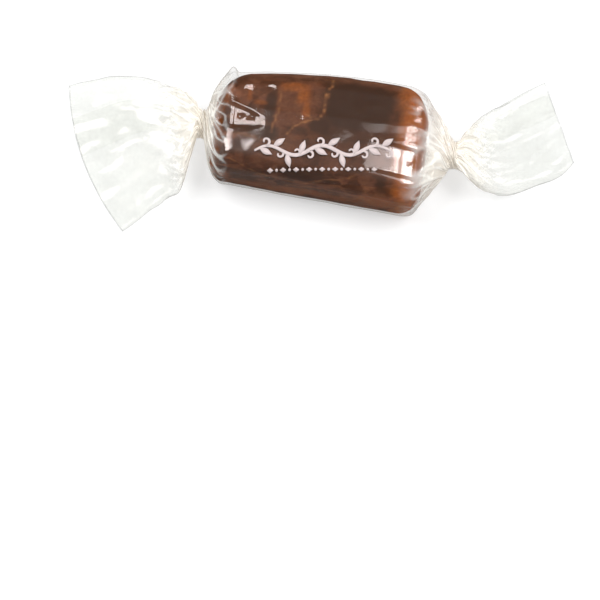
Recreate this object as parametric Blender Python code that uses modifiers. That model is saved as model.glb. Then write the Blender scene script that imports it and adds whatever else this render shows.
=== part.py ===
"""A salted caramel sweet in a clear twist wrapper.

The sweet is one hand-cut block of soft caramel. The wrapper is one piece of clear film: a tube that is
tight round the block, narrows over each end of it, is twisted into a neck, and flares into a flat fan.
Both pieces are lofts of rounded rectangles, and both stand in the sweet's own frame: +X runs along the
block, +Z is up, and the origin is on the floor under the middle of the whole sweet.
"""

import math
from collections import namedtuple

import bmesh
import bpy
from mathutils import Vector

MM = 0.001

# The caramel block
CARAMEL_LENGTH = 32.8 * MM
CARAMEL_WIDTH = 17.6 * MM
CARAMEL_HEIGHT = 12.5 * MM
CARAMEL_EDGE = 2.7 * MM  # radius of the four long edges
CARAMEL_SHIFT = -1.15 * MM  # the block lies nearer to the left neck
BACK_BULGE = 1.15 * MM  # the back side swells,
BULGE_PLACE = 0.25  # most of all a little right of the middle, in half lengths
FRONT_FLARE = 1.3 * MM  # the front side comes forward at the right end
CROWN = 0.4 * MM  # the top sags a little towards both ends
BACK_CORNERS = (5.2 * MM, 6.6 * MM)  # how far the sides draw in at the left and the right end
FRONT_CORNERS = (2.8 * MM, 4.0 * MM)
TOP_CORNERS = (3.0 * MM, 4.6 * MM)
BOTTOM_CORNERS = (2.4 * MM, 3.2 * MM)

# The film
FILM = 0.3 * MM  # thickness of the wall
CLEARANCE = 0.3 * MM  # between the caramel and the film
FILM_OFFSET = CLEARANCE + FILM / 2  # from the caramel to the middle of the wall
FILM_EDGE = CARAMEL_EDGE + FILM_OFFSET
NECK_HEIGHT = 6.8 * MM
NECK_RADIUS = 2.0 * MM
FOLDS = 6  # pleats round the neck
FAN_WAVES = 2.5  # waves across a fan
TWIST = 60.0  # degrees that the film turns from each neck to its fan

COLUMNS = 36  # mesh faces round the tube
ROWS_PER_SPAN = 2
CARAMEL_ROWS = 20

CARAMEL_LEFT = CARAMEL_SHIFT - CARAMEL_LENGTH / 2
CARAMEL_RIGHT = CARAMEL_SHIFT + CARAMEL_LENGTH / 2
CARAMEL_BOTTOM = FILM + CLEARANCE

# One cross-section of the film: its centre, the directions along the tube and across it, its half
# width and half height, its corner radius, the depths of its pleats and waves, how far its middle
# runs past its two edges along the tube, and how far the film has turned.
Station = namedtuple("Station", "centre along across half_width half_height corner pleat wave bow turn")


def end_rounding(x, radii):
    """How far a face draws in at x, for these radii at the block's left and right ends."""
    drawn_in = 0.0
    for to_end, radius in zip((x - CARAMEL_LEFT, CARAMEL_RIGHT - x), radii):
        if to_end < radius:
            drawn_in += radius - math.sqrt(max(0.0, radius**2 - (radius - to_end) ** 2))
    return drawn_in


def block_sides(x):
    """The block's back, front and top before its ends are rounded."""
    along = (x - CARAMEL_SHIFT) / (CARAMEL_LENGTH / 2)
    back = CARAMEL_WIDTH / 2 - BACK_BULGE * (along - BULGE_PLACE) ** 2
    front = -CARAMEL_WIDTH / 2 + FRONT_FLARE * (0.2 - 0.8 * along)
    top = CARAMEL_BOTTOM + CARAMEL_HEIGHT - CROWN * along**2
    return back, front, top


def rounded_rectangle(share, half_width, half_height, corner):
    """The point and outward normal at this share of the way round, from the middle of the underside."""
    quarter = math.floor(share * 4) % 4
    in_quarter = share * 4 % 1.0
    if quarter % 2:
        in_quarter = 1.0 - in_quarter
    flat, side = half_width - corner, half_height - corner
    arc = math.pi * corner  # counted twice, so that corners get more columns
    way = in_quarter * (flat + arc + side)
    if way < flat:
        point, normal = (way, -half_height), (0.0, -1.0)
    elif way < flat + arc:
        angle = (way - flat) / arc * math.pi / 2
        normal = (math.sin(angle), -math.cos(angle))
        point = (flat + corner * normal[0], -side + corner * normal[1])
    else:
        point, normal = (half_width, -side + way - flat - arc), (1.0, 0.0)
    flip_y = 1 if quarter in (0, 1) else -1
    flip_z = 1 if quarter in (0, 3) else -1
    return Vector((flip_y * point[0], flip_z * point[1])), Vector((flip_y * normal[0], flip_z * normal[1]))


def caramel_point(share, row):
    """A point of the block: share runs round it, and row runs from its left end to its right end."""
    slope = 0.5 - 0.5 * math.cos(math.pi * row)  # rows lie closer together at the rounded ends
    x = CARAMEL_LEFT + CARAMEL_LENGTH * slope
    back, front, top = block_sides(x)
    back -= end_rounding(x, BACK_CORNERS)
    front += end_rounding(x, FRONT_CORNERS)
    top -= end_rounding(x, TOP_CORNERS)
    bottom = CARAMEL_BOTTOM + end_rounding(x, BOTTOM_CORNERS)
    across, _ = rounded_rectangle(share, (back - front) / 2, (top - bottom) / 2, CARAMEL_EDGE)
    return Vector((x, (back + front) / 2 + across.x, (top + bottom) / 2 + across.y))


def body_station(x):
    """The film where it lies on the block's long sides."""
    back, front, top = block_sides(x)
    half_width = (back - front) / 2 + FILM_OFFSET
    half_height = (top - CARAMEL_BOTTOM) / 2 + FILM_OFFSET
    centre = Vector((x, (back + front) / 2, (top + CARAMEL_BOTTOM) / 2))
    return Station(centre, Vector((1, 0, 0)), Vector((0, 1, 0)), half_width, half_height, FILM_EDGE, 0, 0, 0, 0)


def shoulder_station(x, y, z, half_width, half_height, pleat):
    """The film between the block and a neck. Sizes are in millimetres."""
    corner = min(3.0, half_width, half_height)
    centre = Vector((x, y, z)) * MM
    sizes = [size * MM for size in (half_width, half_height, corner, pleat)]
    return Station(centre, Vector((1, 0, 0)), Vector((0, 1, 0)), *sizes, 0, 0, 0)


def neck_station(x):
    """A twisted neck, which is a round rope of pleats."""
    centre = Vector((x * MM, 0, NECK_HEIGHT))
    return Station(centre, Vector((1, 0, 0)), Vector((0, 1, 0)), NECK_RADIUS, NECK_RADIUS, NECK_RADIUS, 0.2 * MM, 0, 0, 0)


def fan_stations(side, neck_x, near_corner, far_corner, bow, bell):
    """The film from a neck (side -1 is the left) out to its cut edge, whose two ends are its corners.

    Each row of bell gives, at a share of the way out, the half width as a share of the cut edge's, how
    far the section lies towards its far corner, and its half height, pleat and wave, in millimetres.
    """
    neck = Vector((neck_x * MM, 0, NECK_HEIGHT))
    near, far = Vector(near_corner) * MM, Vector(far_corner) * MM
    middle = (near + far) / 2
    outward = (middle - neck).normalized() * side
    edge = (far - near).normalized()
    half_edge = (far - near).length / 2
    stations = []
    for out, width, offset, half_height, pleat, wave in bell:
        along = outward.lerp(Vector((1, 0, 0)), (1 - out) ** 2).normalized()
        across = Vector((0, 1, 0)).lerp(edge, min(1.0, 2.2 * out)).normalized()
        centre = neck.lerp(middle, out) + across * offset * MM
        sizes = [half_edge * width, half_height * MM, half_height * MM, pleat * MM, wave * MM]
        turn = side * math.radians(TWIST) * min(1.0, 2.5 * out)
        stations.append(Station(centre, along, across, *sizes, side * bow * MM * out**2, turn))
    return stations


LEFT_BELL = (
    (0.06, 0.37, -0.5, 2.3, 0.15, 0.00),
    (0.15, 0.59, -0.8, 2.8, 0.10, 0.10),
    (0.28, 0.72, -0.4, 2.9, 0.05, 0.30),
    (0.51, 0.84, 0.6, 2.4, 0.00, 0.50),
    (0.79, 0.94, 0.3, 1.7, 0.00, 0.65),
    (1.00, 1.00, 0.0, 1.3, 0.00, 0.75),
)
RIGHT_BELL = (
    (0.07, 0.44, -0.15, 2.3, 0.15, 0.00),
    (0.18, 0.74, -0.75, 2.8, 0.10, 0.10),
    (0.33, 0.95, -1.2, 2.9, 0.05, 0.30),
    (0.60, 1.08, -0.8, 2.3, 0.00, 0.50),
    (0.85, 1.10, -0.4, 1.6, 0.00, 0.65),
    (1.00, 1.00, 0.0, 1.3, 0.00, 0.75),
)


def film_stations():
    """All cross-sections of the film, from the cut edge of the left fan to that of the right fan."""
    left_fan = fan_stations(-1, -20.2, (-30.1, -17.4, 1.8), (-41.0, 3.2, 7.6), 2.0, LEFT_BELL)
    right_fan = fan_stations(1, 20.4, (38.9, 1.9, 2.1), (32.6, 12.0, 10.6), 0.0, RIGHT_BELL)
    return [
        *reversed(left_fan),
        neck_station(-20.2),
        neck_station(-19.3),
        shoulder_station(-18.7, 0.0, 6.8, 3.4, 3.3, 0.40),
        shoulder_station(-18.1, -0.1, 6.8, 5.2, 4.8, 0.40),
        shoulder_station(-17.0, -0.2, 6.75, 7.2, 6.0, 0.25),
        shoulder_station(-15.6, 0.3, 6.7, 8.5, 6.4, 0.10),
        body_station(-13.0 * MM),
        body_station(-8.0 * MM),
        body_station(-1.0 * MM),
        body_station(6.0 * MM),
        body_station(12.0 * MM),
        shoulder_station(14.3, -0.75, 6.65, 9.0, 6.15, 0.15),
        shoulder_station(16.1, -0.4, 6.7, 6.7, 5.3, 0.40),
        shoulder_station(17.8, -0.1, 6.8, 4.5, 4.0, 0.45),
        shoulder_station(18.9, 0.0, 6.8, 2.9, 2.8, 0.35),
        neck_station(19.6),
        neck_station(20.4),
        *right_fan,
    ]


def blended(before, start, end, after, share):
    """The value at this share of the way from start to end, on a smooth curve that doesn't overshoot."""
    if isinstance(start, Vector):
        parts = zip(before, start, end, after)
        return Vector([blended(*part, share) for part in parts])
    step = end - start
    slopes = []
    for other in (start - before, after - end):
        slopes.append(2 * other * step / (other + step) if other * step > 0 else 0.0)
    squared, cubed = share**2, share**3
    start_weight = 2 * cubed - 3 * squared + 1
    lean = (cubed - 2 * squared + share) * slopes[0] + (cubed - squared) * slopes[1]
    return start * start_weight + end * (1 - start_weight) + lean


def station_at(stations, place):
    """The film's cross-section at this place along the list of stations, blended between them."""
    last = len(stations) - 1
    index = min(int(place), last - 1)
    around = [stations[max(0, min(last, index + step))] for step in (-1, 0, 1, 2)]
    return Station(*[blended(*values, place - index) for values in zip(*around)])


def film_point(stations, share, row):
    """A point of the film: share runs round the tube, and row runs from its left end to its right end."""
    station = station_at(stations, row * (len(stations) - 1))
    turned_share = (share + station.turn / math.tau) % 1.0
    point, normal = rounded_rectangle(turned_share, station.half_width, station.half_height, station.corner)
    point += normal * station.pleat * math.cos(math.tau * FOLDS * share)
    place = point.x / station.half_width
    along, across = station.along.normalized(), station.across.normalized()
    up = along.cross(across).normalized()
    wave = station.wave * math.sin(math.pi * FAN_WAVES * place)
    made = station.centre + across * point.x + up * (point.y + wave) + along * station.bow * (1 - place**2)
    made.z = max(made.z, FILM / 2)
    return made


def lofted(name, columns, rows, place, closed_ends):
    """A tube made from a flat grid: place(share, row) puts each corner of the grid where it belongs."""
    mesh = bmesh.new()
    bmesh.ops.create_grid(mesh, x_segments=columns, y_segments=rows, size=0.5)
    for vertex in mesh.verts:
        vertex.co = place(min(1.0, vertex.co.x + 0.5), min(1.0, vertex.co.y + 0.5))
    bmesh.ops.remove_doubles(mesh, verts=mesh.verts, dist=1e-6)
    if closed_ends:
        bmesh.ops.holes_fill(mesh, edges=[edge for edge in mesh.edges if edge.is_boundary], sides=0)
    bmesh.ops.recalc_face_normals(mesh, faces=mesh.faces)
    data = bpy.data.meshes.new(name)
    mesh.to_mesh(data)
    mesh.free()
    data.shade_smooth()
    made = bpy.data.objects.new(name, data)
    return made


def finish(name, colour, roughness, alpha=1.0):
    """A material of one Principled shader."""
    material = bpy.data.materials.new(name)
    material.use_nodes = True
    shader = material.node_tree.nodes["Principled BSDF"]
    shader.inputs["Base Color"].default_value = (*colour, 1.0)
    shader.inputs["Roughness"].default_value = roughness
    shader.inputs["Metallic"].default_value = 0.0
    shader.inputs["Alpha"].default_value = alpha
    return material


def make_caramel(collection):
    """The block of soft caramel."""
    caramel = lofted("caramel", COLUMNS, CARAMEL_ROWS, caramel_point, closed_ends=True)
    caramel.data.materials.append(finish("caramel", (0.16, 0.055, 0.02), 0.35))
    collection.objects.link(caramel)
    return caramel


def make_film(collection):
    """The wrapper, whose wall stands half to each side of the surface that film_point gives."""
    stations = film_stations()
    rows = ROWS_PER_SPAN * (len(stations) - 1)
    film = lofted("film_wrapper", COLUMNS, rows, lambda share, row: film_point(stations, share, row), False)
    film.data.materials.append(finish("clear_film", (0.9, 0.9, 0.87), 0.15, 0.35))
    wall = film.modifiers.new("wall", "SOLIDIFY")
    wall.thickness = FILM
    wall.offset = 0.0
    wall.use_even_offset = True
    collection.objects.link(film)
    return film


def centre_on_floor(pieces):
    """Moves the pieces together so that the origin is under the middle of them all."""
    bpy.context.view_layer.update()
    graph = bpy.context.evaluated_depsgraph_get()
    corners = []
    for piece in pieces:
        corners += [Vector(corner) for corner in piece.evaluated_get(graph).bound_box]
    low = Vector(map(min, zip(*corners)))
    high = Vector(map(max, zip(*corners)))
    shift = Vector((-(low.x + high.x) / 2, -(low.y + high.y) / 2, -low.z))
    for piece in pieces:
        piece.location = shift
    print("size in mm", [round(size / MM, 2) for size in high - low], "shift in mm", [round(s / MM, 3) for s in shift])


def main():
    for obj in list(bpy.data.objects):
        bpy.data.objects.remove(obj)
    collection = bpy.data.collections.new("salted_caramel")
    bpy.context.scene.collection.children.link(collection)
    centre_on_floor([make_caramel(collection), make_film(collection)])


main()
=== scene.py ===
# %% [markdown]
# # A salted caramel sweet in clear twist film
#
# This file dresses one wrapped sweet: a hand-cut block of soft caramel, and the clear film that is
# rolled round it, twisted into a neck at each end and spread into two fans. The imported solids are
# loaded first, as a frame that says where everything sits. The pieces made below stand in for them.

import math
from collections import namedtuple

import bmesh
import bpy
from mathutils import Matrix, Vector, noise
from mathutils.bvhtree import BVHTree


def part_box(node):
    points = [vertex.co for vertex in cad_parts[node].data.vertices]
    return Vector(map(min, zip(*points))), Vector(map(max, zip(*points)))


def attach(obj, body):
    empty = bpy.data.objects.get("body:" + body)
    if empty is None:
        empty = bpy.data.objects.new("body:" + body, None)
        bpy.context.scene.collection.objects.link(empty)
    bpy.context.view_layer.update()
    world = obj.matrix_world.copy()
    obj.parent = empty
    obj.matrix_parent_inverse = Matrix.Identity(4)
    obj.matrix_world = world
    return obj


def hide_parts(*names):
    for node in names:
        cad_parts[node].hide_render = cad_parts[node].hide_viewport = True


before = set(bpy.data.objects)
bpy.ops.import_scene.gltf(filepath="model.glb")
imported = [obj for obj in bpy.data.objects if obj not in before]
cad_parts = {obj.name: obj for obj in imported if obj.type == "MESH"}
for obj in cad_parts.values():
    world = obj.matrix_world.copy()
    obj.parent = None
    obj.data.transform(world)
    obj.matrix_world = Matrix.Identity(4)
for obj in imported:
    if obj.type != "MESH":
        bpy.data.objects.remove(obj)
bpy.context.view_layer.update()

# %% [markdown]
# ## Millimetres along the sweet
#
# A sweet is easiest to describe in millimetres along its own necks. Blender works in metres, and the
# frame's origin is under the middle of the whole sweet, so one function turns a point on the sweet
# into a point in the scene. The block of the frame says where the neck line runs: 8.8 mm inside the
# block's back side, with its zero 1.15 mm right of the block's middle.

# %% Millimetres to metres
MM = 0.001
block_low, block_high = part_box("caramel")
ZERO = Vector(((block_low.x + block_high.x) / 2 + 1.15 * MM, block_high.y - 8.8 * MM, 0))


def placed(point):
    """A point of the sweet, in millimetres from the neck line's zero on the floor, in the scene."""
    return Vector(point) * MM + ZERO


print("the neck line's zero in mm:", [round(part / MM, 2) for part in ZERO])

# %% [markdown]
# ## The camera
#
# The sweet is seen from high up, through a long lens, a little from its right. It lies in the upper
# half of the picture, so the camera doesn't look straight at it: it stands on the line that leaves
# the sweet at the viewing angle, and is then tipped down until the sweet is where it belongs.

# %% Camera
VIEW_AZIMUTH, VIEW_ELEVATION = math.radians(7), math.radians(75)
VIEW_DISTANCE = 450 * MM
PIXELS_PER_MM = 6.4
sight = Vector(
    (
        math.sin(VIEW_AZIMUTH) * math.cos(VIEW_ELEVATION),
        -math.cos(VIEW_AZIMUTH) * math.cos(VIEW_ELEVATION),
        math.sin(VIEW_ELEVATION),
    )
)
camera_data = bpy.data.cameras.new("camera")
camera_data.sensor_width = 36
camera_data.lens = 36 * (VIEW_DISTANCE / MM) * PIXELS_PER_MM / 600
camera_data.clip_start, camera_data.clip_end = 0.01, 20
camera = bpy.data.objects.new("camera", camera_data)
bpy.context.scene.collection.objects.link(camera)
bpy.context.scene.camera = camera
sweet_middle = placed((0, 0, 6.8))
camera.location = sweet_middle + sight * VIEW_DISTANCE
straight = (-sight).to_track_quat("-Z", "Y")
tip_down = math.atan(161 / PIXELS_PER_MM / (VIEW_DISTANCE / MM))
tip_right = math.atan(27 / PIXELS_PER_MM / (VIEW_DISTANCE / MM))
camera.rotation_euler = (
    straight.to_matrix() @ Matrix.Rotation(tip_right, 3, "Y") @ Matrix.Rotation(-tip_down, 3, "X")
).to_euler()
print("lens in mm:", round(camera_data.lens, 1))

# %% [markdown]
# ## Noise and creases
#
# Crumpled film is a patchwork of flat facets between straight creases. Blender's noises are all
# round and soft, so this makes its own: the plane is tiled with triangles, each corner gets a
# random height, and the height inside a triangle is a flat slope between its corners. A little
# soft noise bends the tiling first, so that the creases don't all run in three directions.


# %% Helpers for uneven surfaces
def soft(x, y, seed):
    """Smooth noise between about -1 and 1."""
    return noise.noise(Vector((x, y, 7.3 * seed)))


def corner_height(i, j, seed):
    """The random height of one corner of the triangle tiling, between -1 and 1."""
    return 2 * noise.cell(Vector((i + 0.5, j + 0.5, seed + 0.5))) - 1


def triangle_at(x, y, seed):
    """The three corners of the triangle that holds this place, and their weights there."""
    x, y = x + 0.7 * soft(x * 0.6, y * 0.6, seed + 1), y + 0.7 * soft(x * 0.6, y * 0.6, seed + 2)
    skew = (x + y) * 0.366
    a, b = x + skew, y + skew
    i, j = math.floor(a), math.floor(b)
    a, b = a - i, b - j
    if a > b:
        return ((i, j), (i + 1, j), (i + 1, j + 1)), (1 - a, a - b, b)
    return ((i, j), (i, j + 1), (i + 1, j + 1)), (1 - b, b - a, a)


def facets(x, y, seed):
    """The height of a sheet that is creased into flat triangles one unit wide, between -1 and 1."""
    return sum(weight * corner_height(*corner, seed) for corner, weight in zip(*triangle_at(x, y, seed)))


def facet_tone(x, y, seed):
    """A value between -1 and 1 that is the same all over each triangle of that sheet."""
    (first, second, _), _ = triangle_at(x, y, seed)
    return corner_height(3 * first[0] + second[0], 3 * first[1] + second[1], seed + 0.2)


def ramp(value, start, end):
    """0 before start, 1 after end and a smooth rise between them. start may be the larger one."""
    share = min(1.0, max(0.0, (value - start) / (end - start)))
    return share * share * (3 - 2 * share)


print("facets at four places:", [round(facets(x, 0.3, 1), 2) for x in (0, 0.5, 1, 1.5)])


# %% Helper that finishes a piece
def add_piece(name, mesh, material, node=None):
    """Turns a bmesh into a shown piece of the sweet."""
    data = bpy.data.meshes.new(name)
    mesh.to_mesh(data)
    mesh.free()
    data.shade_smooth()
    data.materials.append(material)
    piece = bpy.data.objects.new(name, data)
    bpy.context.scene.collection.objects.link(piece)
    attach(piece, "root")
    if node:
        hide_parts(node)
    print(name, "has", len(data.polygons), "faces")
    return piece


def new_material(name):
    """A material with its node tree, and the tree's Principled shader."""
    material = bpy.data.materials.new(name)
    material.use_nodes = True
    return material, material.node_tree, material.node_tree.nodes["Principled BSDF"]


# %% [markdown]
# ## Short forms for shader nodes
#
# Node trees take many lines in Python. Small helpers keep them readable: one adds a node and
# sets or links its inputs, one makes an arithmetic node, one carries a value smoothly into a new range,
# one mixes two colours, and one turns a display colour into a linear one.


# %% Node helpers
def add_node(tree, kind, inputs=(), **settings):
    """Adds a node, sets its settings, and fills inputs, given as {name: value or output socket}."""
    node = tree.nodes.new(kind)
    for name, value in settings.items():
        setattr(node, name, value)
    for name, value in dict(inputs).items():
        if isinstance(value, bpy.types.NodeSocket):
            tree.links.new(value, node.inputs[name])
        else:
            node.inputs[name].default_value = value
    return node


def calculate(tree, operation, *values, clamp=False):
    """The output of a Math node whose inputs are numbers or sockets."""
    node = add_node(tree, "ShaderNodeMath", dict(enumerate(values)), operation=operation)
    node.use_clamp = clamp
    return node.outputs[0]


def spread(tree, value, start, end, low=0.0, high=1.0):
    """The value carried smoothly from the range start..end to the range low..high."""
    inputs = {"Value": value, "From Min": start, "From Max": end, "To Min": low, "To Max": high}
    node = add_node(tree, "ShaderNodeMapRange", inputs, interpolation_type="SMOOTHSTEP")
    return node.outputs["Result"]


def mixed(tree, share, first, second):
    """A colour between two colours or colour sockets."""
    node = add_node(tree, "ShaderNodeMix", data_type="RGBA")
    for index, value in ((0, share), (6, first), (7, second)):
        if isinstance(value, bpy.types.NodeSocket):
            tree.links.new(value, node.inputs[index])
        else:
            node.inputs[index].default_value = value
    return node.outputs[2]


def linear(red, green, blue):
    """A display colour of 0 to 255 as the linear colour that a shader takes."""
    return (*[((part / 255 + 0.055) / 1.055) ** 2.4 for part in (red, green, blue)], 1.0)


# %% [markdown]
# ## The outline of the block
#
# Soft caramel is poured, cooled, and cut by wire or knife, so a block has a straight side, a side
# that swelled, and a top that sags to its ends. Film and caramel share this outline, so it is one
# function of the place along the block.

# %% Outline of the block
BLOCK_LEFT = (block_low - ZERO).x / MM
BLOCK_RIGHT = (block_high - ZERO).x / MM
BLOCK_MIDDLE = (BLOCK_LEFT + BLOCK_RIGHT) / 2
BLOCK_HALF = (BLOCK_RIGHT - BLOCK_LEFT) / 2
BLOCK_TOP = block_high.z / MM
BLOCK_BOTTOM = block_low.z / MM


def block_sides(x):
    """The back, front and top of the block at this place along it, in millimetres."""
    along = (x - BLOCK_MIDDLE) / BLOCK_HALF
    back = 8.8 - 1.15 * (along - 0.25) ** 2
    front = -8.8 + 1.3 * (0.2 - 0.8 * along)
    return back, front, BLOCK_TOP - 0.4 * along**2


print("block from", round(BLOCK_LEFT, 2), "to", round(BLOCK_RIGHT, 2), "mm along the neck line")

# %% [markdown]
# ## Dents in the top
#
# The top isn't a flat plane. It falls a little to both sides of a low ridge, and where the film was pulled tight over the ends
# it pressed slanted folds into the soft caramel. They matter more than their size suggests: a soft
# box above the sweet is mirrored only where the film slants towards it, so each glare on the real
# sweet is the shape of such a fold. A fold starts level at one place and falls towards the
# end of the block. A dimple is a small patch with a slope of its own, or one that undoes a fold's. The
# caramel is stiffer than the film: it takes the folds with softer borders, and no dimples.

# %% Folds and dimples of the top
Fold = namedtuple("Fold", "x y length half_width widening drift slope edge")
FOLDS = (
    Fold(-9.8, -0.35, -4.7, 0.05, 0.66, 0.15, 0.150, 0.45),
    Fold(6.5, -3.3, 5.2, 2.05, 0.0, -0.11, 0.047, 0.45),
)
Dimple = namedtuple("Dimple", "x y half_length half_width slope tilt")
DIMPLES = (
    Dimple(-12.8, 5.5, 0.75, 0.85, 0.20, 0.16),
    Dimple(-9.3, 5.8, 0.8, 0.5, 0.15, 0.16),
    Dimple(-4.0, 1.1, 0.45, 0.35, 0.20, 0.08),
    Dimple(-12.6, 0.4, 1.1, 0.28, -0.15, 0.0),
    Dimple(13.4, -4.0, 0.45, 0.25, 0.30, 0.0),
    Dimple(13.5, 0.7, 0.3, 0.18, 0.30, 0.0),
)


def top_relief(x, y, dimples=True, softer=0.0):
    """How far the top stands above or below a flat one at this place, in millimetres."""
    height = -0.35 * (min(0.0, y + 1.6) / 9) ** 2 - 0.075 * max(0.0, y - 1.5) * ramp(y, 1.5, 2.5)
    for fold in FOLDS:
        reach = (x - fold.x) * math.copysign(1, fold.length)
        if reach > 0:
            beside = abs(y - fold.y - fold.drift * reach) - fold.half_width - fold.widening * math.sqrt(reach)
            height -= fold.slope * min(reach, abs(fold.length)) * ramp(beside, fold.edge + softer, 0)
    for dimple in DIMPLES if dimples else ():
        along, across = x - dimple.x, y - dimple.y
        away = max(abs(along) / dimple.half_length, abs(across) / dimple.half_width)
        height += (dimple.slope * along + dimple.tilt * across) * ramp(away, 1.35, 0.85)
    return height


print("depth of the left fold in mm:", round(-top_relief(-14.5, -0.3), 2))

# %% [markdown]
# ## The caramel
#
# The block starts as a cube that is cut into a fine grid. The place along the block sets the size of
# the cross-section, a rectangle with rounded corners, and each point of the grid goes to its place
# in that section. The sides and the top draw in on a quarter circle at each end, more at the back than
# at the front, as on the CAD solid. The grid's rows lie closer together there. The film has pressed
# soft facets into the surface, so it isn't a smooth bar.

# %% The caramel block
SWELL = 0.3  # mm that the shown block stands proud of the solid, in the gap that the solid keeps
ROUND_EDGE = 3.0
END_ROUNDING = {"back": (5.2, 4.4), "front": (2.2, 3.6), "top": (3.0, 4.6), "bottom": (2.4, 3.2)}


def drawn_in(side, x):
    """How far a side of the block draws in at x, near its left or its right end."""
    radius = END_ROUNDING[side][x > BLOCK_MIDDLE]
    from_start = radius - (BLOCK_HALF + SWELL - abs(x - BLOCK_MIDDLE))
    return radius - math.sqrt(max(0.0, radius**2 - from_start**2)) if from_start > 0 else 0.0


def block_point(cube_point):
    """Where a point of a cube with sides from -1 to 1 goes on the block, in millimetres."""
    to_end = 1 - (1 - abs(cube_point.x)) ** 1.4
    x = BLOCK_MIDDLE + math.copysign(to_end * (BLOCK_HALF + SWELL), cube_point.x)
    back, front, top = block_sides(x)
    back, front = back + SWELL - drawn_in("back", x), front - SWELL + drawn_in("front", x)
    top, bottom = top + SWELL - drawn_in("top", x), BLOCK_BOTTOM - SWELL + drawn_in("bottom", x)
    half = Vector(((back - front) / 2, (top - bottom) / 2))
    inside = max(abs(cube_point.y), abs(cube_point.z))
    if inside > 0:
        corner = Vector((half.x * cube_point.y, half.y * cube_point.z)) / inside
        core = Vector([max(ROUND_EDGE - size, min(size - ROUND_EDGE, at)) for size, at in zip(half, corner)])
        section = (core + (corner - core).normalized() * ROUND_EDGE) * inside
    else:
        section = Vector((0, 0))
    point = Vector((x, (back + front) / 2 + section.x, (top + bottom) / 2 + section.y))
    point.z += top_relief(point.x, point.y, dimples=False, softer=1.4) * ramp(section.y, half.y - 3.0, half.y - 0.5)
    return point


def block_relief(point):
    """How far the film and the knife left the surface out or in, in millimetres."""
    height = point.z * 0.9 + point.y
    pressed = 0.04 * facets(point.x / 4.5, height / 4.5, 11) + 0.02 * facets(point.x / 1.9, height / 1.9, 12)
    return min(0.08, pressed + 0.05 * soft(point.x / 6, height / 6, 3))


caramel_mesh = bmesh.new()
bmesh.ops.create_cube(caramel_mesh, size=2)
bmesh.ops.subdivide_edges(caramel_mesh, edges=caramel_mesh.edges[:], cuts=119, use_grid_fill=True)
for vertex in caramel_mesh.verts:
    vertex.co = block_point(vertex.co)
caramel_mesh.normal_update()
moves = [(vertex, vertex.normal * block_relief(vertex.co)) for vertex in caramel_mesh.verts]
for vertex, move in moves:
    vertex.co += move
print("caramel corners:", len(caramel_mesh.verts))

# %% [markdown]
# ## Where the film clings
#
# Boiled sugar and butter is nearly opaque where it is thick. Where the film clings to it like a wet
# pane, it looks darkest, and where air got in between, it is a lighter brown. Orange is painted where
# light comes through thin caramel or enters from the side, a painted glow, and along fine channels of
# air as orange threads, a painted highlight. So four values are worked out for each corner of the mesh:
# how wet it is, how much painted glow it gets, how far it is from the nearest thread of painted shine,
# and a tone that changes from one pressed facet to the next, which also carries painted shade of the
# film's folds on the front and the ends, and painted light on the front side. They are measured on the
# surface as if it were unrolled: x runs along the block, and y runs across the top and on down the sides.

# %% Wet patches, glow and threads of air
Patch = namedtuple("Patch", "x y half_length half_width edge amount")
WET = (
    Patch(4.4, 4.0, 5.7, 4.6, 0.26, 1.0),
    Patch(-0.9, 0.2, 1.7, 1.4, 0.3, 0.9),
    Patch(-9.1, 2.3, 0.9, 3.0, 0.35, 0.9),
    Patch(-10.2, -1.6, 3.6, 1.1, 0.4, 0.95),
    Patch(3.0, -0.6, 5.0, 1.3, 0.5, 0.75),
    Patch(-4.6, -1.0, 2.0, 0.7, 0.5, 0.6),
    Patch(-2.4, -8.2, 5.0, 1.2, 0.5, 0.8),
    Patch(-12.6, -4.2, 1.4, 1.2, 0.5, 0.5),
    Patch(9.3, -8.4, 1.0, 1.3, 0.4, 0.6),
    Patch(-16.3, 0.3, 0.8, 1.6, 0.5, 0.8),
)
# Patches of orange painted glow: painted light where light comes through thin caramel or enters from the side.
PAINTED_GLOW = (
    Patch(-5.7, 6.0, 1.9, 0.75, 0.5, 0.55),
    Patch(-4.2, 4.8, 1.0, 1.5, 0.5, 0.6),
    Patch(-3.6, 2.9, 0.55, 1.6, 0.5, 0.5),
    Patch(-15.9, 4.6, 0.8, 1.5, 0.5, 0.5),
    Patch(-12.5, 4.2, 0.35, 1.1, 0.5, 0.35),
    Patch(-10.6, 2.9, 1.0, 0.35, 0.5, 0.35),
    Patch(12.3, -8.8, 1.3, 2.0, 0.6, 0.6),
    Patch(-15.6, -12.5, 1.2, 2.0, 0.6, 0.5),
    Patch(-3.0, -15.5, 11.0, 1.6, 0.6, 0.42),
    Patch(9.5, -14.0, 4.0, 2.8, 0.6, 0.70),
)
# Lines of painted shine: orange painted highlights along threads of air between film and caramel.
PAINTED_SHINE_THREADS = (  # each a line of (x, y) places with its strength
    (0.8, ((0.1, 8.4), (-0.3, 6.6), (-0.6, 5.3), (-0.5, 4.0), (-0.8, 2.5), (-1.4, 1.5), (-2.3, 1.0), (-3.4, 1.6))),
    (0.65, ((-2.3, 1.0), (-4.0, 0.4), (-5.2, -0.5), (-6.0, -1.6))),
    (0.5, ((-7.7, 4.9), (-7.9, 2.5), (-8.1, 0.3), (-8.6, -1.5))),
    (0.45, ((-5.5, -13.2), (-1.0, -9.2), (5.4, -6.9))),
    (0.4, ((-3.5, -11.2), (3.7, -12.0), (7.0, -12.4))),
    (0.4, ((-14.6, -6.4), (-10.0, -9.2), (-5.0, -10.4), (-1.0, -10.2))),
    (0.35, ((-13.6, -2.3), (-9.4, -3.1), (-5.2, -3.2))),
)


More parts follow.
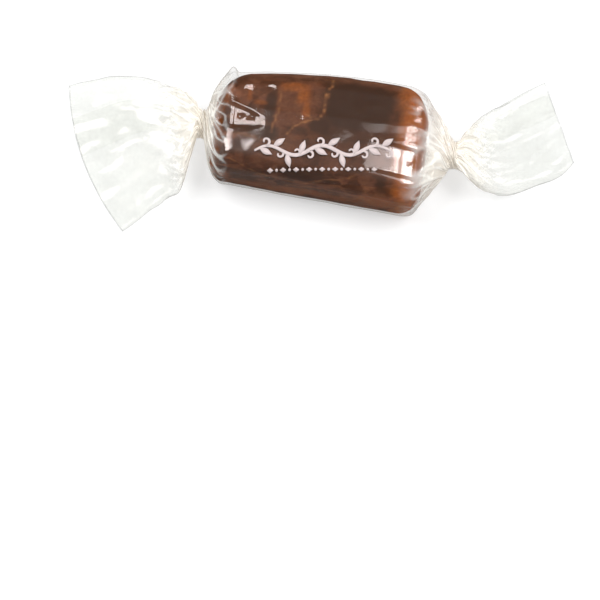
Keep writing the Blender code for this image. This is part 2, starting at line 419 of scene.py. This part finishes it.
def covered(patches, x, y):
    """How much the patches cover this place, from 0 to 1, with ragged edges."""
    ragged = 0.30 * soft(x / 1.6, y / 1.6, 31) + 0.16 * soft(x / 0.55, y / 0.55, 32)
    most = 0.0
    for patch in patches:
        along, across = (x - patch.x) / patch.half_length, (y - patch.y) / patch.half_width
        if max(abs(along), abs(across)) < 2:
            size = (abs(along) ** 2.8 + abs(across) ** 2.8) ** (1 / 2.8) + ragged / max(1.0, 0.6 * patch.half_width)
            most = max(most, patch.amount * ramp(size, 1 + patch.edge, 1 - patch.edge))
    return most


def painted_thread_shine(x, y):
    """How strongly the painted shine of the nearest thread of air shows at this place, from 0 to 1."""
    brightest = 0.0
    here = Vector((x + 0.35 * soft(x / 0.9, y / 0.9, 33), y + 0.35 * soft(x / 0.9, y / 0.9, 34)))
    for strength, line in PAINTED_SHINE_THREADS:
        for start, end in zip(map(Vector, line), map(Vector, line[1:])):
            share = max(0.0, min(1.0, (here - start).dot(end - start) / (end - start).length_squared))
            distance = (here - start.lerp(end, share)).length
            if distance < 0.6:
                broken = 0.6 + 0.8 * soft(x / 0.7, y / 0.7, 35)
                brightest = max(brightest, strength * broken * ramp(distance, 0.26, 0.04))
    return brightest


attributes = ("wet", "painted_glow", "painted_thread", "pressed")
wet, painted_glow, painted_thread, pressed = [caramel_mesh.verts.layers.float.new(name) for name in attributes]
for vertex in caramel_mesh.verts:
    x, depth = vertex.co.x, max(0.0, BLOCK_TOP - 0.3 - vertex.co.z)
    y = vertex.co.y + math.copysign(depth, vertex.co.y)
    vertex[wet] = covered(WET, x, y)
    # Painted glow towards both ends of the block, where light comes through the thin caramel.
    painted_end_glow = ramp(x + 0.8 * soft(x, y / 2.5, 36), 9.8, 13.0) + 0.5 * ramp(x, -15.5, -17.4)
    vertex[painted_glow] = max(covered(PAINTED_GLOW, x, y), min(1.0, painted_end_glow))
    vertex[painted_thread] = painted_thread_shine(x, y)
    # The facet tone is stronger on the front and the ends, where it is painted shade of the film's folds, and the
    # front side is lighter, which is painted light.
    at_sides = 0.45 + 0.55 * max(ramp(-y, 6.0, 9.0), ramp(abs(x + 1), 12.5, 14.5))
    tone = 0.7 * facet_tone(x / 5.0 + 0.3, y / 3.2, 41) + 0.5 * facet_tone(x / 2.4, y / 1.8 + 0.4, 42)
    vertex[pressed] = 0.5 + 0.5 * at_sides * tone + 0.25 * ramp(-y, 8.0, 10.5)
    vertex.co = placed(vertex.co)
print("wet share of the surface:", round(sum(v[wet] for v in caramel_mesh.verts) / len(caramel_mesh.verts), 2))

# %% [markdown]
# ## The caramel's material
#
# The colour goes from wet dark brown to lighter brown by those values, with painted shade and painted
# light in the facet tone, and to orange where the glow and the threads are painted light. Two noises,
# one broad and one fine, keep every area a little uneven. Subsurface scattering carries light a fraction
# of a millimetre into the surface and softens it, and a small specular level stands for the film, which
# takes away the gloss where it clings.

# %% Material of the caramel
caramel_look, tree, caramel_shader = new_material("soft_caramel")
coordinates = add_node(tree, "ShaderNodeTexCoord").outputs["Object"]
broad = add_node(tree, "ShaderNodeTexNoise", {"Vector": coordinates, "Scale": 230.0, "Detail": 4.0}).outputs[0]
grainy = add_node(tree, "ShaderNodeTexNoise", {"Vector": coordinates, "Scale": 2200.0, "Detail": 5.0}).outputs[0]
wet_share, painted_glow_share, painted_thread_share, facet_tone_with_painted_light_and_shade = [
    add_node(tree, "ShaderNodeAttribute", attribute_name=name).outputs["Fac"] for name in attributes
]
WET_BROWN, BROWN, LIGHT_BROWN = (0.055, 0.022, 0.010, 1), (0.088, 0.028, 0.009, 1), (0.260, 0.098, 0.047, 1)
PAINTED_GLOW_ORANGE, PAINTED_THREAD_ORANGE = (0.42, 0.115, 0.018, 1), (0.50, 0.20, 0.07, 1)
# Random tone plus the facet tone, which carries painted shade of folds and painted light on the front side.
uneven_tone_with_painted_light = calculate(tree, "MULTIPLY_ADD", spread(tree, broad, 0.35, 0.70), 0.35, calculate(tree, "MULTIPLY", facet_tone_with_painted_light_and_shade, 0.65))
colour = mixed(tree, uneven_tone_with_painted_light, BROWN, LIGHT_BROWN)
colour = mixed(tree, wet_share, colour, WET_BROWN)
# Orange painted glow: painted light, not the caramel's own colour.
colour = mixed(tree, painted_glow_share, colour, PAINTED_GLOW_ORANGE)
# Orange along the threads is a painted highlight.
colour = mixed(tree, painted_thread_share, colour, PAINTED_THREAD_ORANGE)
speckled = mixed(tree, spread(tree, grainy, 0.62, 0.40, 0.0, 0.22), colour, WET_BROWN)
tree.links.new(speckled, caramel_shader.inputs["Base Color"])
tree.links.new(spread(tree, grainy, 0.3, 0.7, 0.38, 0.52), caramel_shader.inputs["Roughness"])
caramel_shader.inputs["Specular IOR Level"].default_value = 0.12
caramel_shader.inputs["Subsurface Weight"].default_value = 0.45
caramel_shader.inputs["Subsurface Radius"].default_value = (1.0, 0.42, 0.18)
caramel_shader.inputs["Subsurface Scale"].default_value = 0.5 * MM
bump = add_node(tree, "ShaderNodeBump", {"Height": grainy, "Strength": 0.15, "Distance": 0.1 * MM})
tree.links.new(bump.outputs[0], caramel_shader.inputs["Normal"])

add_piece("caramel_block", caramel_mesh, caramel_look, "caramel")

# %% [markdown]
# ## The course of the film
#
# One sheet of film makes everything else: a sleeve that is tight on the block, a shoulder over each of
# its ends, a twisted neck, and a flat fan. So the film is one tube, described by cross-sections
# along it, each a rounded rectangle. Between two of them every size is blended on a smooth curve. All
# sizes are in millimetres.

# %% Cross-sections of the film
GAP = 0.22  # between the shown caramel and the film
Section = namedtuple("Section", "centre along across half_width half_height corner gather bow turn loose")


def body_section(x):
    """The film where it is tight on the block."""
    back, front, top = block_sides(x)
    off = SWELL + GAP
    centre = Vector((x, (back + front) / 2, (top + BLOCK_BOTTOM) / 2))
    half_width, half_height = (back - front) / 2 + off, (top - BLOCK_BOTTOM) / 2 + off
    return Section(centre, Vector((1, 0, 0)), Vector((0, 1, 0)), half_width, half_height, ROUND_EDGE + GAP, 0, 0, 0, 0)


def shoulder_section(x, y, z, half_width, half_height, gather, turn):
    """The film between the block and a neck."""
    corner = min(ROUND_EDGE + GAP, half_width, half_height)
    centre = Vector((x, y, z))
    return Section(
        centre, Vector((1, 0, 0)), Vector((0, 1, 0)), half_width, half_height, corner, gather, 0, turn, 0.2
    )


def fan_sections(side, neck_x, near_corner, far_corner, bow, bell):
    """The film from a neck (side -1 is the left) out to its cut edge, whose two ends are its corners.

    Each row of bell gives, at a share of the way out, the half width as a share of the cut edge's, how
    far the section lies towards its far corner, and its half height.
    """
    neck, near, far = Vector((neck_x, 0, 6.8)), Vector(near_corner), Vector(far_corner)
    middle, edge, half_edge = (near + far) / 2, (far - near).normalized(), (far - near).length / 2
    outward = (middle - neck).normalized() * side
    made = []
    for out, width, offset, half_height in bell:
        along = outward.lerp(Vector((1, 0, 0)), (1 - out) ** 2).normalized()
        across = Vector((0, 1, 0)).lerp(edge, min(1.0, 2.2 * out)).normalized()
        centre = neck.lerp(middle, out) + across * offset
        gather = 0.8 * (1 - ramp(out, 0.0, 0.45))
        turn = side * (2.6 + 0.8 * min(1.0, 2.5 * out))
        loose = ramp(out, 0.05, 0.5)
        made.append(
            Section(
                centre, along, across, half_edge * width, half_height, half_height, gather, side * bow * out**2,
                turn, loose,
            )
        )
    return made


LEFT_BELL = (
    (0.06, 0.38, -0.5, 2.1),
    (0.15, 0.61, -0.8, 2.5),
    (0.28, 0.74, -0.4, 2.3),
    (0.51, 0.86, 0.6, 1.6),
    (0.79, 0.96, 0.3, 1.0),
    (1.00, 1.01, 0.0, 0.6),
)
RIGHT_BELL = (
    (0.07, 0.46, -0.2, 2.1),
    (0.18, 0.72, -1.0, 2.5),
    (0.33, 0.90, -1.8, 2.3),
    (0.60, 1.02, -1.5, 1.6),
    (0.85, 1.07, -0.8, 1.0),
    (1.00, 1.01, 0.0, 0.6),
)


def neck_section(x, turn):
    """A twisted neck, which is a round rope of pleats."""
    return Section(
        Vector((x, 0, 6.8)), Vector((1, 0, 0)), Vector((0, 1, 0)), 1.9, 1.9, 1.9, 1.0, 0, turn, 0
    )


left_fan_sections = [
    *reversed(fan_sections(-1, -20.2, (-30.1, -17.4, 1.8), (-41.0, 3.2, 7.6), 2.0, LEFT_BELL)),
    neck_section(-20.2, -2.6),
]
sleeve_sections = [
    neck_section(-19.4, -1.6),
    shoulder_section(-18.8, 0.0, 6.8, 3.2, 3.1, 0.9, -0.8),
    shoulder_section(-18.2, -0.1, 6.8, 5.3, 4.6, 0.6, -0.3),
    shoulder_section(-17.1, -0.2, 6.75, 7.4, 5.5, 0.35, -0.1),
    shoulder_section(-15.7, 0.3, 6.7, 8.6, 6.38, 0.12, 0),
    *[body_section(x) for x in (-14.5, -12, -8, -1, 6, 11.8)],
    shoulder_section(14.3, -0.75, 6.65, 9.1, 6.25, 0.15, 0),
    shoulder_section(16.1, -0.4, 6.7, 6.9, 5.1, 0.5, 0.1),
    shoulder_section(17.8, -0.1, 6.8, 4.6, 3.9, 0.75, 0.3),
    shoulder_section(18.9, 0.0, 6.8, 2.9, 2.8, 0.9, 0.8),
    neck_section(19.6, 1.5),
]
right_fan_sections = [
    neck_section(20.4, 2.6),
    *fan_sections(1, 20.4, (38.9, 1.9, 2.1), (32.6, 12.0, 10.6), 0.0, RIGHT_BELL),
]
sections = left_fan_sections + sleeve_sections + right_fan_sections
print("cross-sections of the film:", len(sections))

# %% [markdown]
# ## From cross-sections to points
#
# A point of the film has two addresses: how far round the tube it is (0 is under the sweet, 0.5 on
# top, and the front is past 0.5), and its place in the list of cross-sections. The blend uses slopes
# that never overshoot, so a straight run of film stays straight. The neck turns the tube as it goes,
# which winds the pleats into a spiral.


# %% Points of the film
def blended(before, start, end, after, share):
    """The value at this share of the way from start to end, on a smooth curve that doesn't overshoot."""
    if isinstance(start, Vector):
        return Vector([blended(*part, share) for part in zip(before, start, end, after)])
    step = end - start
    slopes = []
    for other in (start - before, after - end):
        slopes.append(2 * other * step / (other + step) if other * step > 0 else 0.0)
    squared, cubed = share**2, share**3
    start_weight = 2 * cubed - 3 * squared + 1
    lean = (cubed - 2 * squared + share) * slopes[0] + (cubed - squared) * slopes[1]
    return start * start_weight + end * (1 - start_weight) + lean


def section_at(place):
    """The cross-section at this place in the list, blended between its neighbours."""
    last = len(sections) - 1
    index = min(int(place), last - 1)
    around = [sections[max(0, min(last, index + step))] for step in (-1, 0, 1, 2)]
    section = Section(*[blended(*values, place - index) for values in zip(*around)])
    return section._replace(along=section.along.normalized(), across=section.across.normalized())


def rounded_rectangle(share, half_width, half_height, corner):
    """The point and outward normal at this share of the way round, from the middle of the underside."""
    quarter = math.floor(share * 4) % 4
    in_quarter = share * 4 % 1.0
    if quarter % 2:
        in_quarter = 1.0 - in_quarter
    flat, side, arc = half_width - corner, half_height - corner, math.pi / 2 * corner
    way = in_quarter * (flat + arc + side)
    if way < flat:
        point, normal = (way, -half_height), (0.0, -1.0)
    elif way < flat + arc:
        angle = (way - flat) / corner
        normal = (math.sin(angle), -math.cos(angle))
        point = (flat + corner * normal[0], -side + corner * normal[1])
    else:
        point, normal = (half_width, -side + way - flat - arc), (1.0, 0.0)
    flip_y = 1 if quarter in (0, 1) else -1
    flip_z = 1 if quarter in (0, 3) else -1
    return Vector((flip_y * point[0], flip_z * point[1])), Vector((flip_y * normal[0], flip_z * normal[1]))


# %% [markdown]
# ## Folds
#
# Film can't shrink, so where the tube narrows, the spare width goes into pleats: sharp, uneven, and
# deepest at the neck. Smooth noise has soft hills, but its absolute value has a sharp valley
# wherever the noise passes through zero. Turned upside down, those are crests that run along the
# tube, meet and part again, as real pleats do. In the fans they die out into broad facets. Over the
# block the film is under tension and nearly smooth.


# %% Folds of the film
def pleats(share, place, count, seed):
    """Sharp crests round the tube, between about -1 and 1."""
    angle = math.tau * share
    ring = Vector((math.cos(angle), math.sin(angle), 0)) * (count / math.tau)
    return 1 - 4 * min(0.5, abs(noise.noise(ring + Vector((0.37, 0.61, place * 0.33 + seed)))))


def fold_height(share, place, x, round_mm, section):
    """How far the film stands out of its smooth course, in millimetres, and how sharp a crest it is."""
    gather, loose = section.gather, section.loose
    broad, fine = pleats(share, place, 11, 3.4), pleats(share, place * 1.3, 27, 5.8)
    room = min(1.0, section.half_height / 3 + 0.15)
    height = (0.48 * broad + 0.28 * fine) * gather**0.95 * room
    if loose:
        height += 0.13 * loose * room * pleats(share, place * 0.5, 5, 8.2)
    crumple = 0.022 + 0.09 * loose + 0.10 * ramp(gather, 0.05, 0.3)
    height += crumple * facets(x / 6.0, round_mm / 4.5, 21)
    height += (0.35 + 0.5 * loose) * crumple * facets(x / 2.8, round_mm / 2.1, 22)
    height += 0.07 * ramp(gather, 0.12, 0.35) * ramp(gather, 0.95, 0.6) * facets(x / 1.0, round_mm / 1.3, 23)
    crest = gather**0.6 * max(ramp(fine, 0.45, 0.95), 0.8 * ramp(broad, 0.6, 0.98))
    return height, crest


def film_point(share, place, lift):
    """A point of the film in millimetres, and how gathered, creased and loose the film is there."""
    section = section_at(place)
    turned = (share + section.turn / math.tau) % 1.0
    point, normal = rounded_rectangle(turned, section.half_width, section.half_height, section.corner)
    around = 30 * abs(turned * 2 - 1) + 60 * (turned < 0.5)
    height, crest = fold_height(share, place, section.centre.x, around, section)
    point += normal * (height + lift)
    across_share = point.x / section.half_width
    up = section.along.cross(section.across).normalized()
    made = section.centre + section.across * point.x + up * point.y
    made += section.along * section.bow * (1 - across_share**2)
    if -18 < made.x < 17:
        made.z += top_relief(made.x, made.y) * ramp(normal.y, 0.3, 0.9) * ramp(section.gather, 0.85, 0.5)
    made.z = max(made.z, 0.06)
    return made, section.gather, crest, section.loose


BODY_START, BODY_END = len(left_fan_sections) + 5, len(left_fan_sections) + 11
print("top of the film over the block's middle, in mm:", round(film_point(0.5, BODY_START + 3, 0)[0].z, 2))

# %% [markdown]
# ## The film's pieces
#
# The film is a flat sheet that is rolled once round the block and a little further, so its two
# long edges overlap. Each piece starts as a flat grid, which is that sheet, and every corner of the grid
# is carried to its place on the tube. The outer layer's edge runs along the top of the block, a
# little aslant, as it came off the wrapping machine. The pieces meet in the necks and at the two ends of
# the block, where their rows fall on the same points. Four attributes go along for the material: how
# gathered, creased and loose the film is, and where it was cut, along which the material paints a
# dark outline of shade.
# Solidify gives the wall.

# %% Film builder
WALL = 0.04  # mm
OVERLAP = 0.12  # of the way round
LAYER = 0.10  # mm between the two layers
HALF_ROUND = 28.8  # mm of film from the middle of the underside to the middle of the top


def outer_edge(place):
    """How far round the tube the outer layer's edge lies at this place."""
    x = max(-16.0, min(14.5, section_at(place).centre.x))
    return 0.5 + 0.5 * (1.9 - 0.115 * x) / HALF_ROUND


def film_piece(name, first, last, rows, columns, material, node=None):
    """One piece of the film, between two places in the list of cross-sections."""
    mesh = bmesh.new()
    bmesh.ops.create_grid(mesh, x_segments=columns, y_segments=rows, size=0.5)
    layers = [mesh.verts.layers.float.new(name) for name in ("gathered", "creased", "loosened", "cut_edge_painted_shade")]
    for vertex in mesh.verts:
        across, place = vertex.co.x + 0.5, first + (last - first) * (vertex.co.y + 0.5)
        share = outer_edge(place) + across * (1 + OVERLAP)
        point, *values = film_point(share, place, LAYER * (1 - across))
        at_cut = ramp(min(place, len(sections) - 1 - place) * rows / (last - first), 2.5, 0.0)
        for layer, value in zip(layers, (*values, at_cut)):
            vertex[layer] = value
        vertex.co = placed(point)
    bmesh.ops.recalc_face_normals(mesh, faces=mesh.faces)
    piece = add_piece(name, mesh, material, node)
    wall = piece.modifiers.new("wall", "SOLIDIFY")
    wall.thickness, wall.offset = WALL * MM, 0.0
    return piece


# %% [markdown]
# ## The clear film's material
#
# Clear film does two things to light: it lets nearly all of it through, a little tinted, and each of
# its two surfaces mirrors about four parts in a hundred, more where the light strikes flat. So the
# shader is a mix of Transparent and a mirror, steered by Layer Weight. The mirror is tinted pink, a
# painted reflection of the caramel in the highlights. Seen flat, light also has a longer way through
# the film, so the tint is darker there, which draws a thin grey line round each fan. Along the cut
# edges the tint is darker still, a painted shade that outlines them. Where many pleats lie on each
# other, the film looks creamy and dull, most of all along the crests, so a second mix adds a dull
# white where the attributes say so. Its cream where the film is gathered is a painted reflection of
# the caramel, and it glows a little, more on the fans, which is painted light. On the tight film it
# also shows as a rim at flat angles, a painted sheen.

# %% Material of the film
film_look, tree, milky_film_with_painted_glow = new_material("clear_twist_film")
gathered, creased, loosened, cut_edge_painted_shade = [
    add_node(tree, "ShaderNodeAttribute", attribute_name=name).outputs["Fac"]
    for name in ("gathered", "creased", "loosened", "cut_edge_painted_shade")
]
coordinates = add_node(tree, "ShaderNodeTexCoord").outputs["Object"]
fine = add_node(
    tree, "ShaderNodeTexNoise", {"Vector": coordinates, "Scale": 420.0, "Detail": 3.0, "Roughness": 0.55}
).outputs[0]
film_bump = add_node(tree, "ShaderNodeBump", {"Height": fine, "Strength": 0.12, "Distance": 0.05 * MM}).outputs[0]

# The mirror's pink tint is a painted reflection of the caramel's colour in the film's highlights.
mirror = add_node(
    tree,
    "ShaderNodeBsdfPrincipled",
    {
        "Base Color": (1.0, 0.89, 0.86, 1),
        "Metallic": 1.0,
        "Roughness": spread(tree, loosened, 0.0, 0.6, 0.10, 0.18),
        "Normal": film_bump,
    },
)
clear = add_node(tree, "ShaderNodeBsdfTransparent")
slant = add_node(tree, "ShaderNodeLayerWeight", {"Blend": 0.5, "Normal": film_bump}).outputs["Facing"]
flat_tint = mixed(tree, loosened, linear(253, 253, 253), linear(252.4, 252.7, 251.9))
tint = mixed(tree, spread(tree, gathered, 0.1, 0.9), flat_tint, linear(252, 251, 248))
edge_tint = mixed(tree, loosened, linear(241, 240, 237), linear(182, 184, 183))
tint = mixed(tree, calculate(tree, "POWER", slant, 6.0), tint, edge_tint)
# Along the cut edges the film is tinted darker, a painted shade that draws their outline.
tint = mixed(tree, cut_edge_painted_shade, tint, linear(160, 163, 162))
tree.links.new(tint, clear.inputs["Color"])
least_shine = spread(tree, loosened, 0.0, 0.6, 0.034, 0.022)
shine = calculate(tree, "MULTIPLY_ADD", calculate(tree, "POWER", slant, 10.0), 0.30, least_shine)
glossy_film = add_node(
    tree, "ShaderNodeMixShader", {0: shine, 1: clear.outputs[0], 2: mirror.outputs[0]}
).outputs[0]

# The cream where the film is gathered is a painted reflection of the caramel.
milk_and_painted_glow = mixed(tree, gathered, linear(250, 251, 249), linear(250, 245, 237))
tree.links.new(milk_and_painted_glow, milky_film_with_painted_glow.inputs["Base Color"])
milky_film_with_painted_glow.inputs["Roughness"].default_value = 0.4
# The milky film also glows in that colour, more where it is loose: painted light for floor light scattered through the
# pile.
tree.links.new(milk_and_painted_glow, milky_film_with_painted_glow.inputs["Emission Color"])
tree.links.new(spread(tree, loosened, 0.0, 0.5, 0.08, 0.22), milky_film_with_painted_glow.inputs["Emission Strength"])
pleated = spread(tree, gathered, 0.15, 0.8, 0.0, 0.42)
milky_haze_with_painted_light = calculate(tree, "MULTIPLY_ADD", creased, 0.55, pleated)
# At flat angles the tight film gets a rim of milky white, a painted sheen.
painted_rim_sheen = calculate(tree, "MULTIPLY", calculate(tree, "POWER", slant, 14.0), spread(tree, loosened, 0.0, 0.4, 0.14, 0.0))
milky_haze_with_painted_light = calculate(tree, "ADD", milky_haze_with_painted_light, painted_rim_sheen)
milky_haze_with_painted_light = calculate(tree, "ADD", milky_haze_with_painted_light, calculate(tree, "MULTIPLY", loosened, spread(tree, fine, 0.35, 0.65, 0.03, 0.08)))
film_look.cycles.emission_sampling = "NONE"
film_shader = add_node(
    tree, "ShaderNodeMixShader", {0: milky_haze_with_painted_light, 1: glossy_film, 2: milky_film_with_painted_glow.outputs[0]}
).outputs[0]
tree.links.new(film_shader, tree.nodes["Material Output"].inputs["Surface"])

# %% The five pieces of film
LEFT_NECK, RIGHT_NECK = len(left_fan_sections) - 0.5, len(left_fan_sections) + len(sleeve_sections) - 0.5
END = len(sections) - 1
film_sleeve = film_piece("film_sleeve", BODY_START, BODY_END, 110, 280, film_look, "film_wrapper")
film_piece("film_shoulder_left", LEFT_NECK, BODY_START, 120, 280, film_look)
film_piece("film_shoulder_right", BODY_END, RIGHT_NECK, 120, 280, film_look)
film_piece("film_fan_left", 0, LEFT_NECK, 150, 240, film_look)
film_piece("film_fan_right", RIGHT_NECK, END, 140, 240, film_look)

# %% [markdown]
# ## The print on the film
#
# A thin pinkish white ink is printed on the outer side of the film: here a stem with leaves and
# tendrils, over a row of lozenges and dots. Every stroke is a strip: a grid one face wide that
# follows a path and has a width for each place along it. A leaf is a strip that swells, and
# a dot is a very short one. The strips are drawn flat, turned a little as the printing runs aslant, and
# then dropped straight down onto the film by casting a ray from above each of their corners.

# %% Strips of ink
ink = bmesh.new()


def strip(path, width, steps):
    """Adds a flat strip along path(share), width(share) wide, for shares from 0 to 1."""
    for vertex in bmesh.ops.create_grid(ink, x_segments=steps, y_segments=1, size=0.5)["verts"]:
        share = vertex.co.x + 0.5
        here, ahead = Vector(path(share)), Vector(path(share + 0.001))
        along = (ahead - here).normalized()
        edge = here + Vector((-along.y, along.x)) * width(share) * vertex.co.y
        vertex.co = (edge.x, edge.y, 0)


def straight(start, angle, length):
    """A straight path from start, at this angle in degrees."""
    way = Vector((math.cos(math.radians(angle)), math.sin(math.radians(angle)))) * length
    return lambda share: Vector(start) + way * share


def curl(start, angle, size, hand):
    """A path that leaves start at this angle and winds up to the left (hand 1) or the right (-1)."""
    def path(share):
        turned = math.radians(angle) + hand * share * 5.2
        radius = size * (1 - 0.75 * share)
        first = math.radians(angle)
        centre = Vector(start) + Vector((-math.sin(first), math.cos(first))) * hand * size
        return centre + Vector((math.sin(turned), -math.cos(turned))) * hand * radius
    return path


def stem(share):
    """The stem's wavy path."""
    return Vector((-10.4 + 20.8 * share, 0.75 * math.sin(math.tau * 2.5 * share)))


strip(stem, lambda share: 0.28 + 0.34 * math.sin(math.pi * share) ** 0.5, 90)
for number in range(10):
    share = (number + 0.35) / 10
    here, ahead = stem(share), stem(share + 0.01)
    heading = math.degrees(math.atan2(ahead.y - here.y, ahead.x - here.x))
    side = 1 if number % 2 else -1
    leaf_length = 2.5 - 0.5 * abs(share - 0.5)
    strip(straight(here, heading + side * 52, leaf_length), lambda s: 0.95 * math.sin(math.pi * s) ** 1.2, 14)
    strip(curl(stem(share + 0.05), heading + side * 20, 0.75, -side), lambda s: 0.42 * (1 - 0.4 * s), 24)
for number in range(17):
    spot = (-8 + number, -2.95)
    if number % 2:
        strip(straight((spot[0] - 0.22, spot[1]), 0, 0.44), lambda s: 0.44 * math.sin(math.pi * s) ** 0.5, 8)
    else:
        strip(straight((spot[0] - 0.5, spot[1]), 0, 1.0), lambda s: 0.72 * (1 - abs(2 * s - 1)), 8)
bmesh.ops.remove_doubles(ink, verts=ink.verts, dist=0.002)
print("faces of ink:", len(ink.faces))

# %% The ink on the film
sheet = film_sleeve.data
film_tree = BVHTree.FromPolygons([v.co for v in sheet.vertices], [face.vertices for face in sheet.polygons])
turn = Matrix.Rotation(math.radians(7), 3, "Z")
for vertex in ink.verts:
    spot = turn @ vertex.co + Vector((-0.3, -3.7, 20))
    hit = film_tree.ray_cast(placed(spot), Vector((0, 0, -1)))[0]
    vertex.co = hit + Vector((0, 0, 0.045 * MM))
ink_look, tree, ink_shader = new_material("pale_ink")
ink_shader.inputs["Base Color"].default_value = linear(222, 205, 203)
ink_shader.inputs["Roughness"].default_value = 0.5
ink_shader.inputs["Specular IOR Level"].default_value = 0.2
ink_piece = add_piece("print_on_film", ink, ink_look)
ink_wall = ink_piece.modifiers.new("wall", "SOLIDIFY")
ink_wall.thickness, ink_wall.offset = 0.015 * MM, 1.0

# %% [markdown]
# ## Floor and light
#
# Sweets like this are shown on a white sweep, with a soft box on either side of the camera. The floor
# glows, as a light table does, so that the shadows stay pale. A flat piece of film then mirrors
# the dark gap between the two boxes, which is why the caramel shows so clearly, and only a piece that
# slants towards a box shines. A mirror shows what lies as far on the other side of its normal as the
# eye is on this side, so each box is hung where film of a chosen slant will show it. The right
# box is dimmer towards its rim, so it is a bright light in front of a larger, dimmer one. The film's steep
# sides would mirror the bright floor and look milky, while a real floor is darker close to the sweet, so
# the floor is given a darker grey for mirrored rays, which the light path tells apart.


# %% Floor
floor_mesh = bmesh.new()
bmesh.ops.create_circle(floor_mesh, cap_ends=True, segments=64, radius=4.0)
floor_data = bpy.data.meshes.new("floor")
floor_mesh.to_mesh(floor_data)
floor_mesh.free()
floor_look, tree, floor_shader = new_material("white_floor")
floor_shader.inputs["Base Color"].default_value = (0.48, 0.48, 0.48, 1)
floor_shader.inputs["Roughness"].default_value = 0.7
floor_shader.inputs["Specular IOR Level"].default_value = 0.1
floor_shader.inputs["Emission Color"].default_value = (1, 1, 1, 1)
floor_shader.inputs["Emission Strength"].default_value = 0.55
dim_floor = add_node(tree, "ShaderNodeBsdfDiffuse", {"Color": (0.22, 0.21, 0.20, 1)})
mirrored = add_node(tree, "ShaderNodeLightPath").outputs["Is Glossy Ray"]
floor_mix = add_node(tree, "ShaderNodeMixShader", {0: mirrored, 1: floor_shader.outputs[0], 2: dim_floor.outputs[0]})
tree.links.new(floor_mix.outputs[0], tree.nodes["Material Output"].inputs["Surface"])
floor_data.materials.append(floor_look)
floor = bpy.data.objects.new("floor", floor_data)
bpy.context.scene.collection.objects.link(floor)


# %% Lights
def soft_box(name, slope, distance, size, brightness):
    """A rectangular area light that film with this slope, (towards +X, towards +Y), would mirror."""
    normal = Vector((*slope, 1)).normalized()
    data = bpy.data.lights.new(name, "AREA")
    data.shape, data.size, data.size_y = "RECTANGLE", size[0], size[1]
    data.energy = brightness * math.pi * size[0] * size[1]
    light = bpy.data.objects.new(name, data)
    bpy.context.scene.collection.objects.link(light)
    light.location = sweet_middle + (2 * normal.dot(sight) * normal - sight) * distance
    light.rotation_euler = (sweet_middle - light.location).to_track_quat("-Z", "Y").to_euler()
    print(name, "hangs at", [round(part, 2) for part in light.location], "with", round(data.energy, 1), "W")


soft_box("left_box", (-0.21, -0.065), 0.9, (0.42, 0.42), 8.5)
soft_box("right_box", (0.235, -0.065), 0.9, (0.42, 0.37), 8.5)
soft_box("right_box_rim", (0.215, -0.065), 0.95, (0.46, 0.56), 2.4)

world = bpy.data.worlds.new("studio")
world.use_nodes = True
world.node_tree.nodes["Background"].inputs["Color"].default_value = (0.9, 0.95, 1.0, 1)
world.node_tree.nodes["Background"].inputs["Strength"].default_value = 0.12
bpy.context.scene.world = world
bpy.context.scene.view_settings.view_transform = "Standard"
bpy.context.scene.cycles.transparent_max_bounces = 48
